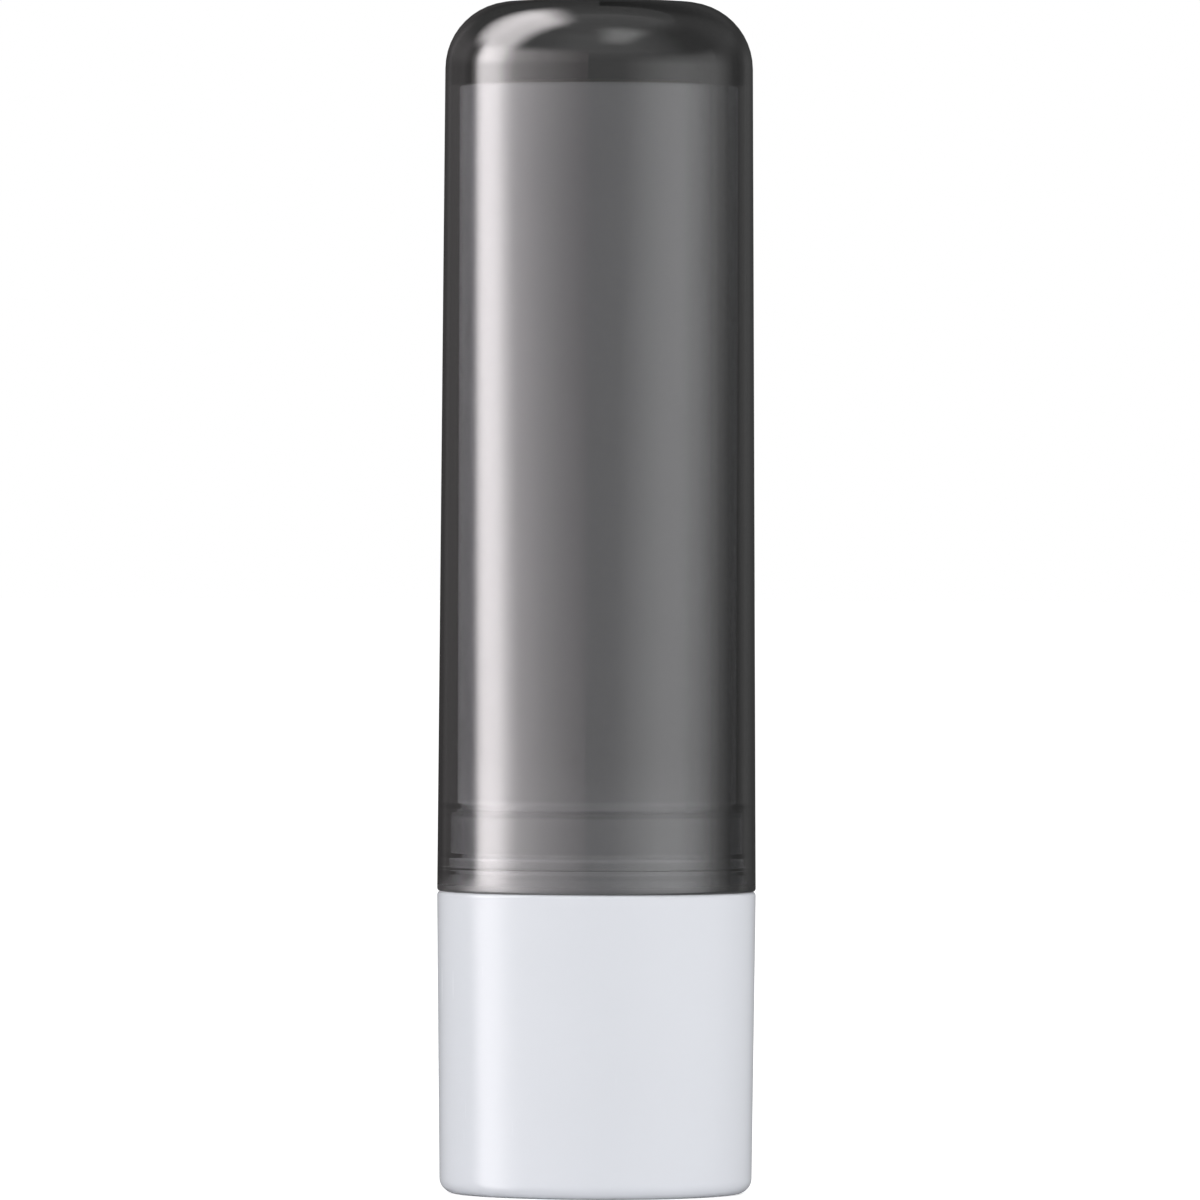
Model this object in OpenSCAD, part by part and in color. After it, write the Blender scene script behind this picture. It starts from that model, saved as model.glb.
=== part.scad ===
// Lip balm stick, closed: a clear smoked cap over a straight white tube.
// The base turns a coarse left-hand lead screw, and the screw lifts a carrier
// that is keyed to the tube and holds the balm.
// The stick stands on the XY plane with its axis on Z.

/* [Whole stick] */
// Outside diameter where the cap meets the base
stick_d = 19; // [19:0.1:21]
// Height of the closed stick
stick_h = 71; // [70:0.5:76]
// Height of the base, up to the mouth of the cap
base_h = 18; // [17.5:0.25:19]

/* [Cap] */
// How much narrower the cap is at its shoulder than at its mouth, on the diameter
cap_taper = 0.66; // [0.1:0.02:0.8]
// Radius of the shoulder between side and top
shoulder_r = 4; // [3:0.1:4.2]
// Rounding on the outer edge of the mouth
mouth_round = 0.18; // [0.05:0.01:0.25]
// Thickness of the skirt inside the mouth
skirt_wall = 0.68; // [0.6:0.02:0.72]
// Thickness of the wall above the skirt
cap_wall = 0.85; // [0.8:0.02:1]
// Thickness of the wall under the shoulder
cap_wall_top = 0.74; // [0.7:0.02:0.9]
// Thickness of the top, over the recess in its ceiling
cap_top_t = 1.55; // [1.2:0.05:2.5]
// Rounding in the corner between bore and ceiling
ceiling_round = 0.5; // [0.2:0.05:0.8]
// Diameter of the domed recess in the ceiling
recess_d = 11; // [8:0.2:13]
// Depth of the snap groove in the skirt
snap_groove = 0.14; // [0.12:0.01:0.2]
// Length of the ramp on each side of the snap groove
snap_ramp = 0.2; // [0.1:0.05:0.3]

/* [Inner tube] */
// Thickness of the tube round the balm
tube_wall = 1.5; // [1.1:0.05:1.8]
// Distance of the tube's rim below the top of the cap
rim_drop = 5; // [4.8:0.1:6]
// Rounding on the rim
rim_round = 0.3; // [0.1:0.05:0.5]
// Height of the collar that the cap closes on
collar_h = 4.8; // [4:0.1:6]
// Rounding on the upper edge of the collar
collar_round = 0.12; // [0.05:0.01:0.2]
// How far the snap bead stands out of the collar
snap_bead = 0.09; // [0.04:0.01:0.1]
// Height of the snap bead above the base
snap_bead_z = 1.35; // [1:0.05:1.8]
// Width of the snap bead
snap_bead_w = 0.9; // [0.5:0.05:1.4]
// Thickness of the spigot that runs inside the base
spigot_wall = 1.1; // [0.8:0.05:1.4]
// Length of the spigot
spigot_h = 10.5; // [9:0.25:11]
// How far the retaining bead stands out of the spigot
keeper_out = 0.25; // [0.15:0.05:0.3]
// Height of the retaining bead
keeper_h = 1; // [0.8:0.1:1.4]
// Distance from the end of the spigot up to the retaining bead
keeper_up = 1.1; // [0.8:0.1:1.6]
// Thickness of the floor inside the tube
tube_floor_t = 1.6; // [1.2:0.1:2]
// Distance of the floor's upper face below the mouth of the cap
tube_floor_drop = 1.2; // [0.6:0.1:1.8]
// Number of key ribs inside the tube
key_n = 4; // [3:1:6]
// Width of each key rib
key_w = 1.2; // [0.8:0.1:1.6]
// Height of each key rib above the bore
key_out = 0.5; // [0.3:0.05:0.6]
// Distance from the rim down to the end of the key ribs
key_drop = 6; // [4:0.5:10]

/* [Base] */
// How much narrower the base is at its foot than at its top, on the diameter
foot_taper = 0.4; // [0.1:0.05:0.8]
// Rounding at the foot
foot_round = 0.9; // [0.4:0.05:1.1]
// Rounding on the upper outer edge
base_edge_round = 0.25; // [0.1:0.05:0.3]
// Diameter of the hollow under the base
hollow_d = 14.8; // [12:0.2:15.6]
// Depth of the hollow under the base
hollow_h = 0.8; // [0.4:0.1:1.2]
// Thickness of the base's floor
base_floor_t = 1.4; // [1:0.1:1.8]
// Thickness of the base's wall round the spigot
base_wall = 1.44; // [1.3:0.02:1.7]
// Thickness of the hub round the splined socket
hub_wall = 0.93; // [0.7:0.01:1.3]
// Number of webs between hub and wall
web_n = 6; // [3:1:8]
// Thickness of each web
web_t = 0.9; // [0.6:0.1:1.4]
// Space between the webs and the end of the spigot
web_gap = 0.5; // [0.3:0.1:1.5]

/* [Screw] */
// Rise of the balm for one full turn of the base
lead = 6.5; // [5:0.25:8]
// Turns of the base from balm down to balm up
turns = 6; // [3:0.5:6]
// Number of ridges round the screw
starts = 2; // [1:1:3]
// Diameter of the screw between its ridges
screw_core_d = 3; // [2.6:0.1:3.2]
// Height of each ridge
ridge_h = 0.8; // [0.5:0.05:0.9]
// How far the plain journal stands out over the ridges
journal_out = 0.05; // [0.02:0.01:0.2]
// Distance from the rim of the tube down to the end of the screw
screw_drop = 5.5; // [5:0.25:9]
// Diameter of the splined foot of the screw, over its core
spline_core_d = 4; // [3.6:0.1:4.2]
// Number of splines
spline_n = 8; // [5:1:10]
// Width of each spline
spline_w = 0.8; // [0.5:0.05:0.9]
// How far the splines stand out of the core
spline_out = 0.35; // [0.2:0.05:0.4]
// How far the thrust flange stands out of the journal
flange_out = 0.95; // [0.5:0.05:1.5]
// Thickness of the thrust flange
flange_t = 1.9; // [1.2:0.1:2.4]

/* [Carrier] */
// Thickness of the carrier's plate
plate_t = 1.2; // [1:0.1:1.6]
// Height of the fingers above the plate
finger_h = 6; // [4:0.25:7]
// Thickness of the fingers
finger_t = 0.8; // [0.6:0.05:1]
// Thickness of the nut outside the ridges
nut_wall = 0.9; // [0.7:0.05:1.2]
// Height of the nut, measured from the underside of the plate
nut_h = 7.5; // [6:0.25:8]
// Diameter of the grip window in each finger
window_d = 2.4; // [1.6:0.1:2.8]
// Space between carrier and bore of the tube
carrier_gap = 0.3; // [0.15:0.05:0.4]
// Space between a key rib and its notch in the carrier
notch_gap = 0.2; // [0.1:0.05:0.3]

/* [Balm] */
// Distance from the rim down to the top of the balm
balm_drop = 0.6; // [0.4:0.1:2]
// Rise of the balm's slightly domed top
balm_dome = 0.4; // [0.2:0.05:0.6]
// Space between balm and bore
balm_gap = 0.05; // [0.03:0.01:0.08]
// Space between the balm and a key rib
flute_gap = 0.12; // [0.08:0.01:0.2]
// Space between the balm and the screw
core_gap = 0.25; // [0.15:0.05:0.4]

/* [Clearances] */
// Space between the tube and the bore of the cap under its ceiling
sleeve_gap = 0.13; // [0.1:0.01:0.3]
// Space between the collar and the skirt of the cap
collar_gap = 0.12; // [0.11:0.01:0.2]
// Space over the collar, up to the step inside the cap
step_gap = 0.25; // [0.15:0.05:0.6]
// Space between the tube's rim and the ceiling of the cap
ceiling_gap = 0.35; // [0.25:0.05:0.8]
// Space above and below the snap bead in its groove
groove_gap = 0.15; // [0.1:0.01:0.2]
// Running clearance between spigot and base
run_gap = 0.06; // [0.04:0.01:0.09]
// Running clearance between journal and floor
journal_gap = 0.08; // [0.05:0.01:0.1]
// Clearance above and below the retaining bead
keeper_gap = 0.1; // [0.08:0.01:0.15]
// Clearance between flange and floor, and between floor and carrier
end_gap = 0.1; // [0.08:0.01:0.15]
// Clearance between screw and nut
nut_gap = 0.2; // [0.18:0.01:0.25]
// Clearance between the splines and their socket
spline_gap = 0.02; // [0.01:0.01:0.03]
// Clearance between the balm and the carrier it is cast on
cast_gap = 0.02; // [0.01:0.01:0.03]

/* [Hidden] */
$fn = 96;
// smallest distance by which a cutting shape runs past what it cuts
over = 0.5;
// heights that more than one piece uses
rim_z = stick_h - rim_drop;
ceiling_z = rim_z + ceiling_gap;
shoulder_z = stick_h - shoulder_r;
spigot_z = base_h - spigot_h;
keeper_z = spigot_z + keeper_up;
floor_top = base_h - tube_floor_drop;
floor_low = floor_top - tube_floor_t;
key_top = rim_z - key_drop;
flange_top = floor_low - end_gap;
hub_top = flange_top - flange_t;
base_floor_z = hollow_h + base_floor_t;
socket_z = base_floor_z + 1;
screw_top = rim_z - screw_drop;
carrier_z = floor_top + end_gap;
plate_top = carrier_z + plate_t;
finger_top = plate_top + finger_h;
nut_top = carrier_z + nut_h;
balm_top = rim_z - balm_drop;
step_z = base_h + collar_h + step_gap;
bead_z = base_h + snap_bead_z;
lift = lead * turns;
// radii of the cap, from its skin inwards
cap_r = stick_d / 2;
cap_top_r = (stick_d - cap_taper) / 2;
skirt_r = cap_r - skirt_wall;
step_r = cap_r - cap_wall;
ceiling_r = cap_top_r - cap_wall_top;
// radii of the tube and of the base round its spigot
collar_r = skirt_r - collar_gap;
tube_r = ceiling_r - sleeve_gap;
bore_r = tube_r - tube_wall;
key_r = bore_r - key_out;
foot_r = (stick_d - foot_taper) / 2;
base_bore_r = cap_r - base_wall;
spigot_r = base_bore_r - run_gap;
// radii of the screw and of what goes round it
screw_r = screw_core_d / 2 + ridge_h;
journal_r = screw_r + journal_out;
flange_r = journal_r + flange_out;
spline_r = spline_core_d / 2 + spline_out;
hub_r = spline_r + spline_gap + hub_wall;
nut_r = screw_r + nut_gap + nut_wall;
// radii of carrier and balm
carrier_r = bore_r - carrier_gap;
balm_r = bore_r - balm_gap;
// the shoulder's arc meets the drafted side of the cap here
draft = atan((cap_r - cap_top_r) / (shoulder_z - base_h));
shoulder_x = cap_top_r - shoulder_r / cos(draft);
side_x = shoulder_x + shoulder_r * cos(draft);
side_z = shoulder_z + shoulder_r * sin(draft);
// height of the recess in the ceiling, and radius of the sphere that shapes it
recess_h = stick_h - cap_top_t - ceiling_z;
recess_r = (pow(recess_d / 2, 2) + pow(recess_h, 2)) / (2 * recess_h);
// radius of the sphere that shapes the top of the balm
dome_r = (pow(balm_r, 2) + pow(balm_dome, 2)) / (2 * balm_dome);
// points round the screw's section, and slices for one turn of it
screw_points = 20;
turn_slices = 20;

// half of the cap's outline, from the axis to its outer skin
module cap_outline() {
    polygon([
        [0, base_h],
        [cap_r, base_h],
        [side_x, side_z],
        [shoulder_x, shoulder_z],
        [shoulder_x, stick_h],
        [0, stick_h]
    ]);
    translate([shoulder_x, shoulder_z]) circle(r = shoulder_r);
}

// half of the space inside the cap
module cap_inside() {
    groove_low = bead_z - groove_gap;
    groove_high = bead_z + snap_bead_w + groove_gap;
    difference() {
        polygon([
            [0, base_h - over],
            [skirt_r, base_h - over],
            [skirt_r, groove_low - snap_ramp],
            [skirt_r + snap_groove, groove_low],
            [skirt_r + snap_groove, groove_high],
            [skirt_r, groove_high + snap_ramp],
            [skirt_r, step_z],
            [step_r, step_z],
            [ceiling_r, ceiling_z],
            [0, ceiling_z]
        ]);
        // rounds the corner under the ceiling
        difference() {
            translate([ceiling_r - ceiling_round, ceiling_z - ceiling_round])
                square([ceiling_round + over, ceiling_round + over]);
            translate([ceiling_r - ceiling_round, ceiling_z - ceiling_round])
                circle(r = ceiling_round);
        }
    }
    intersection() {
        translate([0, ceiling_z + recess_h - recess_r]) circle(r = recess_r);
        translate([0, ceiling_z - over]) square([cap_r, recess_h + 2 * over]);
    }
}

// takes the sharp outer corner off a turned piece, below or above it
module outer_round(r, z, size, up) {
    difference() {
        translate([r - size, up ? z - size : z - over])
            square([size + over, size + over]);
        translate([r - size, up ? z - size : z + size]) circle(r = size);
    }
}

module cap() {
    color([0.16, 0.16, 0.17, 0.7])
    rotate_extrude() {
        difference() {
            intersection() {
                cap_outline();
                translate([0, base_h - over]) square([cap_r + over, stick_h]);
            }
            cap_inside();
            outer_round(cap_r, base_h, mouth_round, false);
        }
    }
}

// half of the tube's section, without its keys
module tube_section() {
    difference() {
        union() {
            translate([0, spigot_z]) square([spigot_r, spigot_h]);
            translate([0, base_h]) square([collar_r, collar_h]);
            translate([0, base_h]) square([tube_r, rim_z - base_h]);
            // snap bead for the cap
            translate([0, bead_z]) square([collar_r + snap_bead, snap_bead_w]);
            // bead that keeps the tube in the base
            translate([0, keeper_z]) square([spigot_r + keeper_out, keeper_h]);
        }
        // bore for the balm, and the space under the floor
        translate([0, floor_top]) square([bore_r, rim_z]);
        translate([0, spigot_z - over])
            square([spigot_r - spigot_wall, floor_low - spigot_z + over]);
        translate([0, floor_low - over])
            square([journal_r + journal_gap, tube_floor_t + 2 * over]);
        outer_round(tube_r, rim_z, rim_round, true);
        outer_round(collar_r, base_h + collar_h, collar_round, true);
        // rounds the inner edge of the rim
        difference() {
            translate([bore_r - over, rim_z - rim_round])
                square([over + rim_round, rim_round + over]);
            translate([bore_r + rim_round, rim_z - rim_round]) circle(r = rim_round);
        }
    }
}

// straight keys along the bore, also used wider to cut the notches for them
module keys(low, high, inner_r, width) {
    for (i = [0 : key_n - 1]) {
        rotate([0, 0, i * 360 / key_n])
            translate([inner_r, -width / 2, low])
                cube([bore_r + over - inner_r, width, high - low]);
    }
}

module inner_tube() {
    color([0.88, 0.89, 0.92])
    union() {
        rotate_extrude() tube_section();
        keys(floor_top - over, key_top, key_r, key_w);
    }
}

// half of the base's section
module base_section() {
    difference() {
        polygon([
            [0, 0],
            [foot_r, 0],
            [cap_r, base_h],
            [0, base_h]
        ]);
        outer_round(foot_r, 0, foot_round, false);
        outer_round(cap_r, base_h, base_edge_round, true);
        // hollow under the floor
        translate([0, -over]) square([hollow_d / 2, hollow_h + over]);
        // space round the hub
        translate([hub_r, base_floor_z])
            square([base_bore_r - hub_r, base_h]);
        translate([0, hub_top]) square([2 * hub_r, base_h]);
        // groove for the tube's retaining bead
        translate([2 * hub_r, keeper_z - keeper_gap])
            square([
                base_bore_r + keeper_out - 2 * hub_r,
                keeper_h + 2 * keeper_gap
            ]);
    }
}

// splined section of the screw's foot, widened by gap for its socket
module splines(gap) {
    circle(r = spline_core_d / 2 + gap);
    for (i = [0 : spline_n - 1]) {
        rotate([0, 0, i * 360 / spline_n])
            translate([0, -spline_w / 2 - gap])
                square([spline_r + gap, spline_w + 2 * gap]);
    }
}

module turn_base() {
    color([0.87, 0.88, 0.91])
    difference() {
        union() {
            rotate_extrude() base_section();
            for (i = [0 : web_n - 1]) {
                rotate([0, 0, (i + 0.5) * 360 / web_n])
                    translate([hub_r - 0.3, -web_t / 2, base_floor_z - 0.3])
                        cube([
                            base_bore_r - hub_r + 0.6,
                            web_t,
                            spigot_z - web_gap - base_floor_z + 0.3
                        ]);
            }
        }
        translate([0, 0, socket_z])
            linear_extrude(height = hub_top - socket_z + over) splines(spline_gap);
    }
}

// one left-hand lead screw, with its ridges rising as the angle falls
module screw(low, high, gap) {
    core = screw_core_d / 2 + gap;
    translate([0, 0, low])
        rotate([0, 0, -360 * low / lead])
            linear_extrude(
                height = high - low,
                twist = 360 * (high - low) / lead,
                slices = ceil(turn_slices * (high - low) / lead),
                $fn = screw_points
            )
                polygon([
                    for (i = [0 : screw_points - 1])
                        let (a = i * 360 / screw_points)
                        let (r = core + ridge_h * pow((1 + cos(starts * a)) / 2, 1.5))
                        [r * cos(a), r * sin(a)]
                ]);
}

module spindle() {
    color([0.93, 0.93, 0.92])
    union() {
        translate([0, 0, socket_z + end_gap])
            linear_extrude(height = hub_top - socket_z - end_gap) splines(0);
        translate([0, 0, hub_top]) cylinder(r = flange_r, h = flange_t);
        translate([0, 0, hub_top])
            cylinder(r = journal_r, h = floor_top - hub_top);
        screw(floor_top - over, screw_top, 0);
    }
}

module balm_carrier() {
    color([0.94, 0.94, 0.93])
    difference() {
        union() {
            translate([0, 0, carrier_z]) cylinder(r = carrier_r, h = plate_t);
            translate([0, 0, carrier_z]) cylinder(r = nut_r, h = nut_h);
            difference() {
                translate([0, 0, carrier_z])
                    cylinder(r = carrier_r, h = plate_t + finger_h);
                translate([0, 0, carrier_z - over])
                    cylinder(r = carrier_r - finger_t, h = plate_t + finger_h + 2 * over);
            }
        }
        keys(carrier_z - over, finger_top + over, key_r - notch_gap, key_w + 2 * notch_gap);
        windows(window_d / 2, carrier_r + over);
        screw(carrier_z - over, nut_top + over, nut_gap);
    }
}

// round bars through the middle of each finger
module windows(r, reach) {
    for (i = [0 : key_n - 1]) {
        rotate([0, 0, (i + 0.5) * 360 / key_n])
            translate([carrier_r - finger_t - over, 0, plate_top + finger_h / 2])
                rotate([0, 90, 0])
                    cylinder(r = r, h = reach - carrier_r + finger_t + over);
    }
}

module balm() {
    color([0.95, 0.87, 0.72])
    difference() {
        union() {
            // poured body, domed at the top
            intersection() {
                translate([0, 0, plate_top + cast_gap])
                    cylinder(r = balm_r, h = balm_top - plate_top);
                translate([0, 0, balm_top - dome_r]) sphere(r = dome_r);
            }
        }
        // bore left by the screw
        translate([0, 0, plate_top - over])
            cylinder(r = screw_r + core_gap, h = screw_top + core_gap - plate_top + over);
        // room for the nut
        translate([0, 0, plate_top - over])
            cylinder(r = nut_r + cast_gap, h = nut_top + cast_gap - plate_top + over);
        // room for the fingers, which the grip windows let the balm through
        difference() {
            translate([0, 0, plate_top - over])
                cylinder(r = balm_r + over, h = finger_h + cast_gap + over);
            translate([0, 0, plate_top - 2 * over])
                cylinder(r = carrier_r - finger_t - cast_gap, h = finger_h + 4 * over);
            windows(window_d / 2 - cast_gap, carrier_r);
        }
        keys(plate_top - over, key_top + flute_gap, key_r - flute_gap, key_w + 2 * flute_gap);
    }
}

cap();
inner_tube();
turn_base();
spindle();
balm_carrier();
balm();
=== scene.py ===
"""Lip balm stick, closed: a clear smoked cap over a white tube, on a turning base.

Cap, tube, base and balm are modelled here. The lead screw and the carrier keep their CAD
shapes and get a better finish. All lengths that a user would change are in the property
groups, in metres, and the rest of a piece's section is written in millimetres beside it.
"""

from math import asin, atan2, cos, degrees, hypot, pi, radians, sin, tan

import bpy
from bpy.props import FloatProperty, FloatVectorProperty, IntProperty, PointerProperty
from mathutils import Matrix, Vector


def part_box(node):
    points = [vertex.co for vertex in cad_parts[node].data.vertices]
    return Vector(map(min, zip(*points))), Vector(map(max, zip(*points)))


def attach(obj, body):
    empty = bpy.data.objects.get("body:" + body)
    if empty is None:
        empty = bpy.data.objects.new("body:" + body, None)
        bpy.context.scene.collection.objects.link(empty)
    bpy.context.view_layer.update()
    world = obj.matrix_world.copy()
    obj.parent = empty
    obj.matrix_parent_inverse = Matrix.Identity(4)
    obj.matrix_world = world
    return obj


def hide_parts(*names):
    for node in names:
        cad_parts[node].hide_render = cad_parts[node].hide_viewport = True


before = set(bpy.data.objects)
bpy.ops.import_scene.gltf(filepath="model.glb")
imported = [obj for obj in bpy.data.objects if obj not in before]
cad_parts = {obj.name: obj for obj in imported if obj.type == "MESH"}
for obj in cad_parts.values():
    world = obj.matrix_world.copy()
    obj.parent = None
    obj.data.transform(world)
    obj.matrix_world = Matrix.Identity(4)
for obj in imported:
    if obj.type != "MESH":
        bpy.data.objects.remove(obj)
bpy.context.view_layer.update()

bl_info = {
    "name": "Lip balm stick",
    "version": (1, 0, 0),
    "blender": (4, 5, 0),
    "location": "3D View > Sidebar > Lip balm",
    "description": "Models a closed lip balm stick, piece by piece, with its studio",
    "category": "Add Mesh",
}

MM = 0.001
CAP_LOW, CAP_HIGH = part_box("cap")
TUBE_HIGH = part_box("inner_tube")[1]
BALM_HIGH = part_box("balm")[1]

# Painted shade in the cap's colour, by slant: 0 faces the camera and 1 is edge on. It darkens
# the tube seen through the wall where that tube is in shade. The second set is painted shade
# for the right side, where the tube inside is unlit, and the third is painted shade for the
# skirt, and each of these comes in between two places in millimetres.
FACE_ON_PAINTED_SHADE = {0.0: 0.83, 0.04: 0.89, 0.08: 0.95, 0.15: 1.0}
RIGHT_LIMB_PAINTED_SHADE = {
    0.14: 1.0, 0.17: 0.95, 0.196: 0.85, 0.22: 0.77, 0.25: 0.63, 0.28: 0.46, 0.31: 0.27,
    0.37: 0.13, 0.45: 0.12, 0.54: 0.5, 0.6: 1.0, 0.65: 0.8, 0.71: 0.3, 0.8: 0.2,
}
SHADED_LIMB_SIDE = 2, 5
SKIRT_PAINTED_SHADE = {0.0: 0.93, 0.25: 0.88, 0.4: 0.68, 0.5: 0.52}
SKIRT_SHADE_TOP = 23.3, 23.1
# painted shade the same way, in dark bands at the mouth, over the snap groove and under the
# skirt's steps, by height in millimetres
RING_PAINTED_SHADE = {
    17.9: 0.5, 18.12: 0.56, 18.35: 0.81, 18.75: 0.81, 18.93: 0.7, 19.08: 0.76,
    19.2: 1.0, 19.36: 1.0, 19.5: 0.8, 19.62: 0.72, 19.85: 0.76, 20.0: 1.0,
    20.25: 1.0, 20.4: 0.82, 22.4: 0.81, 22.58: 0.62, 22.9: 0.66, 23.05: 1.0,
    23.35: 1.0, 23.55: 0.9,
}
# the cap is rubbed matt between these heights in millimetres
RUBBED_MOUTH = 19.2, 18
RUBBED_ROUGHNESS = 0.36

# Share of a card's strength by its angle round the stick, in degrees from the camera's
# side, positive to the right.
STREAK_LEVELS = {
    -180: 0.004, -165: 0.007, -155: 0.011, -146: 0.023, -140: 0.023, -128: 0.033,
    -118: 0.045, -112: 0.04, -108: 0.04, -104: 0.1, -101.5: 0.24, -97: 0.7, -92: 0.94,
    -86: 1.0, -80: 0.97, -76: 0.86, -72: 0.69, -68: 0.53, -62: 0.37, -56: 0.31,
    -50: 0.285, -43: 0.235, -34: 0.205, -25: 0.165, -16: 0.135, -8: 0.105,
}
SIDE_LEVELS = {
    -8: 0.42, 14: 0.45, 32: 0.76, 48: 0.97, 60: 0.97, 66: 0.93, 77: 0.82, 83: 0.74,
    89: 0.66, 95: 0.56, 101: 0.41, 109: 0.24, 116: 0.13, 125: 0.09, 134: 0.1, 139: 0.12,
    146: 0.1, 152: 0.07, 160: 0.04, 180: 0.02,
}
FLAG_LEVELS = {
    -70: 0.7, -40: 0.8, -20: 1.0, 25: 1.0, 50: 0.75, 75: 0.42, 100: 0.35, 112: 0.36,
    120: 0.34, 132: 0.28, 149: 0.14, 180: 0.06,
}
# Brightness of the bowl behind the stick, by degrees from the camera's side.
BOWL_LEVELS = {99: 0.75, 108: 0.55, 120: 0.36, 130: 0.24, 143: 0.14, 160: 0.06, 179: 0.04}
BOWL_RADIUS = 2.4
# Height of the cards over the stick, and between which heights the streak grows brighter.
CEILING = 0.6
BOOST_LOW, BOOST_HIGH = 0.1, 0.14
WHITE = (1, 1, 1, 1)
WARM_WHITE = (1, 0.955, 0.965, 1)


# Properties


class StickSizes(bpy.types.PropertyGroup):
    """Sizes of the stick that a maker would change."""

    stick_radius: FloatProperty(
        name="Stick radius",
        description="Outer radius where the cap meets the base",
        default=9.5 * MM,
        min=8 * MM,
        max=12 * MM,
        precision=5,
        unit="LENGTH",
    )
    mouth_height: FloatProperty(
        name="Mouth height",
        description="Height of the cap's mouth, which is the top of the base",
        default=CAP_LOW.z,
        min=15 * MM,
        max=22 * MM,
        precision=5,
        unit="LENGTH",
    )
    top_height: FloatProperty(
        name="Top height",
        description="Height of the closed stick",
        default=CAP_HIGH.z,
        min=60 * MM,
        max=80 * MM,
        precision=5,
        unit="LENGTH",
    )
    rim_height: FloatProperty(
        name="Rim height",
        description="Height of the tube's rim",
        default=TUBE_HIGH.z,
        min=55 * MM,
        max=70 * MM,
        precision=5,
        unit="LENGTH",
    )
    balm_height: FloatProperty(
        name="Balm height",
        description="Height of the balm's top, turned down",
        default=BALM_HIGH.z,
        min=50 * MM,
        max=70 * MM,
        precision=5,
        unit="LENGTH",
    )
    round_steps: IntProperty(
        name="Round steps",
        description="Number of faces round each turned piece",
        default=192,
        min=48,
        max=256,
    )


class StickFinishes(bpy.types.PropertyGroup):
    """Colours and gloss of the stick."""

    smoke: FloatVectorProperty(
        name="Smoke",
        description="Colour of the light that gets through the cap's wall",
        subtype="COLOR",
        default=(0.42, 0.415, 0.415),
        min=0,
        max=1,
    )
    smoke_density: FloatProperty(
        name="Smoke density",
        description="How strongly each metre of the cap's plastic takes light away",
        default=2100,
        min=0,
        max=6000,
    )
    white: FloatVectorProperty(
        name="White plastic",
        description="Colour of tube and base",
        subtype="COLOR",
        default=(0.738, 0.756, 0.803),
        min=0,
        max=1,
    )
    natural: FloatVectorProperty(
        name="Natural plastic",
        description="Colour of screw and carrier",
        subtype="COLOR",
        default=(0.78, 0.775, 0.745),
        min=0,
        max=1,
    )
    wax: FloatVectorProperty(
        name="Balm",
        description="Colour of the balm",
        subtype="COLOR",
        default=(0.83, 0.72, 0.5),
        min=0,
        max=1,
    )


class StudioSettings(bpy.types.PropertyGroup):
    """Camera and light."""

    camera_side: FloatProperty(
        name="Camera side",
        description="How far the lens stands to the right of the stick's axis",
        default=0.14 * MM,
        min=-10 * MM,
        max=10 * MM,
        precision=5,
        unit="LENGTH",
    )
    camera_distance: FloatProperty(
        name="Camera distance",
        description="From the stick's axis to the lens",
        default=0.797,
        min=0.3,
        max=3,
        unit="LENGTH",
    )
    camera_height: FloatProperty(
        name="Camera height",
        description="Height of the lens above the floor",
        default=0.040,
        min=0,
        max=1,
        precision=4,
        unit="LENGTH",
    )
    focal_length: FloatProperty(
        name="Focal length",
        description="Lens, in millimetres",
        default=401,
        min=50,
        max=800,
    )
    tilt: FloatProperty(
        name="Tilt",
        description="How far the camera looks down",
        default=radians(0.334),
        min=radians(-10),
        max=radians(10),
        subtype="ANGLE",
    )
    roll: FloatProperty(
        name="Roll",
        description="How far the camera leans",
        default=radians(-0.19),
        min=radians(-5),
        max=radians(5),
        subtype="ANGLE",
    )
    daylight: FloatProperty(
        name="Daylight",
        description="Light from all round",
        default=0.67,
        min=0,
        max=2,
    )
    streak: FloatProperty(
        name="Streak",
        description="Brightness of the tall softbox that makes the streak",
        default=10.0,
        min=0,
        max=30,
    )


# Sections of turned pieces


def measures(*lengths):
    """Lengths in metres, as millimetres."""
    return [length / MM for length in lengths]


def rounded(corners):
    """Points of a section whose corners are (radius, height) or (radius, height, round)."""
    points = []
    for index, corner in enumerate(corners):
        here = Vector(corner[:2])
        size = corner[2] if len(corner) > 2 else 0
        if not size:
            points.append(tuple(here))
            continue
        before = Vector(corners[index - 1][:2]) - here
        after = Vector(corners[index + 1][:2]) - here
        opening = before.angle(after)
        reach = size / tan(opening / 2)
        start = here + before.normalized() * reach
        end = here + after.normalized() * reach
        bisector = (before.normalized() + after.normalized()).normalized()
        centre = here + bisector * (size / sin(opening / 2))
        first, last = start - centre, end - centre
        turn = first.angle_signed(last)
        count = max(3, round(abs(degrees(turn)) / 7.5))
        for step in range(count + 1):
            angle = -turn * step / count
            spoke = Vector(
                (
                    first.x * cos(angle) - first.y * sin(angle),
                    first.x * sin(angle) + first.y * cos(angle),
                )
            )
            points.append(tuple(centre + spoke))
    return points


def dome(low, high, count):
    """Points of a shallow dome from (radius, height) of its edge to its top on the axis."""
    rise = high - low[1]
    radius = (low[0] ** 2 + rise**2) / (2 * rise)
    reach = asin(low[0] / radius)
    return [
        (radius * sin(reach * k / count), high - radius + radius * cos(reach * k / count))
        for k in range(count, -1, -1)
    ]


# Modelling by hand, step by step


def put_down():
    """Leaves edit mode and lets go of everything."""
    if bpy.context.object and bpy.context.object.mode != "OBJECT":
        bpy.ops.object.mode_set(mode="OBJECT")
    bpy.ops.object.select_all(action="DESELECT")


def take(piece):
    """Makes the piece the only one that is selected and active."""
    put_down()
    piece.select_set(True)
    bpy.context.view_layer.objects.active = piece


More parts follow.
